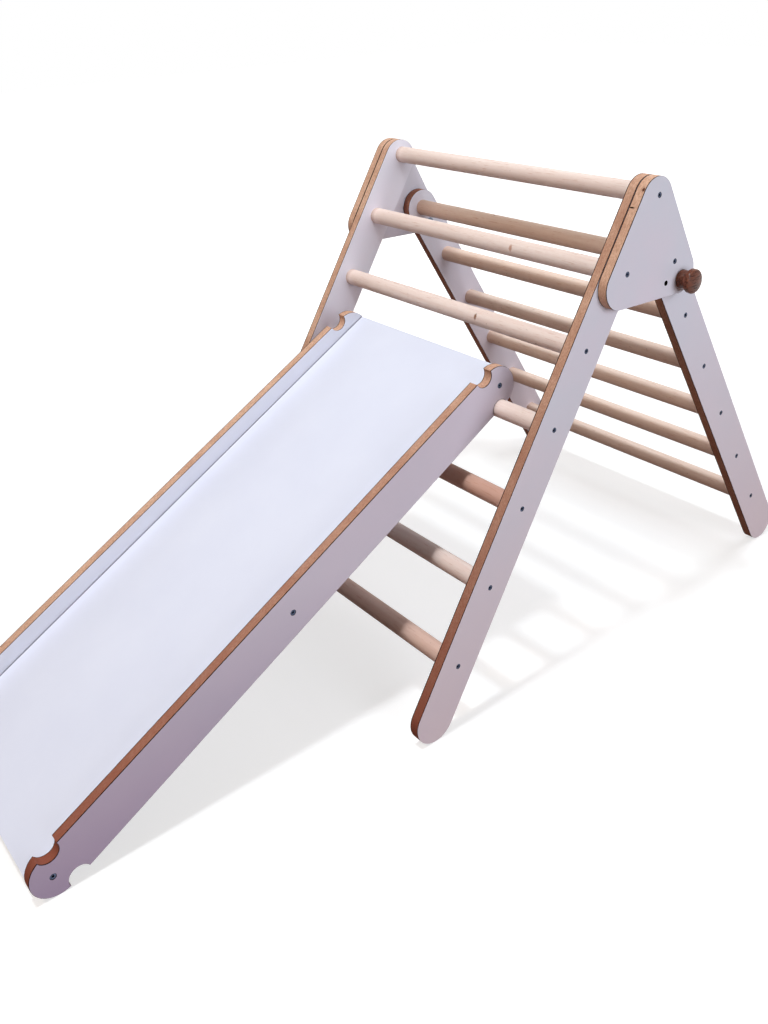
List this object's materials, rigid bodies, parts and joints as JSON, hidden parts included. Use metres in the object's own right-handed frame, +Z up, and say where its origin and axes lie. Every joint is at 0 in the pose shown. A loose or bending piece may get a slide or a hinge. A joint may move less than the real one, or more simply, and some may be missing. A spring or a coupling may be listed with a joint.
{
  "type": "folding climbing triangle",
  "caption": "Folding A-frame climbing triangle for children: two hinged rung ladders, gussets with wooden lock knobs, and a hook-on slide.",
  "frame": {"origin": "on the floor, under the middle of the whole footprint", "axes": "+Z up, +X from the slide's foot towards the rear ladder's foot, +Y across the width to the far side"},
  "size_m": [1.5687, 0.7426, 0.8397],
  "materials": {
    "white_board": "white laminated board, brown bare edges",
    "slide_surface": "smooth white laminate",
    "front_beech": "pale beech, clear satin",
    "rear_beech": "beech, clear satin",
    "walnut": "dark turned wood, oiled",
    "zinc_steel": "dark zinc plated",
    "nut_steel": "blue zinc plated"
  },
  "bodies": {
    "frame": {"front_rail_near": "white_board", "front_rail_far": "white_board", "gusset_near": "white_board", "gusset_far": "white_board", "front_rung_1": "front_beech", "front_rung_2": "front_beech", "front_rung_3": "front_beech", "front_rung_4": "front_beech", "front_rung_5": "front_beech", "front_rung_6": "front_beech", "front_rung_7": "front_beech", "front_screws_near": "zinc_steel", "front_screws_far": "zinc_steel", "gusset_screws_near": "zinc_steel", "gusset_screws_far": "zinc_steel"},
    "rear_ladder": {"rear_rail_near": "white_board", "rear_rail_far": "white_board", "rear_rung_1": "rear_beech", "rear_rung_2": "rear_beech", "rear_rung_3": "rear_beech", "rear_rung_4": "rear_beech", "rear_rung_5": "rear_beech", "rear_rung_6": "rear_beech", "rear_screws_near": "zinc_steel", "rear_screws_far": "zinc_steel", "pivot_screw_near": "zinc_steel", "pivot_screw_far": "zinc_steel", "pivot_washer_near": "zinc_steel", "pivot_washer_far": "zinc_steel", "lock_nut_near": "nut_steel", "lock_nut_far": "nut_steel"},
    "near_knob": {"lock_knob_near": "walnut", "knob_stud_near": "zinc_steel"},
    "far_knob": {"lock_knob_far": "walnut", "knob_stud_far": "zinc_steel"},
    "slide": {"slide_board_near": "white_board", "slide_board_far": "white_board", "slide_panel": "slide_surface", "slide_screws_near": "zinc_steel", "slide_screws_far": "zinc_steel"}
  },
  "joints": [
    {"name": "rear_fold", "type": "hinge", "parent": "frame", "child": "rear_ladder", "pos_m": [0.36739, 0, 0.6902], "axis": [0, 1, 0], "range_deg": [0, 62.4]},
    {"name": "near_knob_pull", "type": "slide", "parent": "frame", "child": "near_knob", "axis": [0, -1, 0], "range_m": [0, 0.045]},
    {"name": "far_knob_pull", "type": "slide", "parent": "frame", "child": "far_knob", "axis": [0, 1, 0], "range_m": [0, 0.045]},
    {"name": "slide_lift", "type": "slide", "parent": "frame", "child": "slide", "axis": [-0.4843, 0, 0.8749], "range_m": [0, 0.25]}
  ]
}
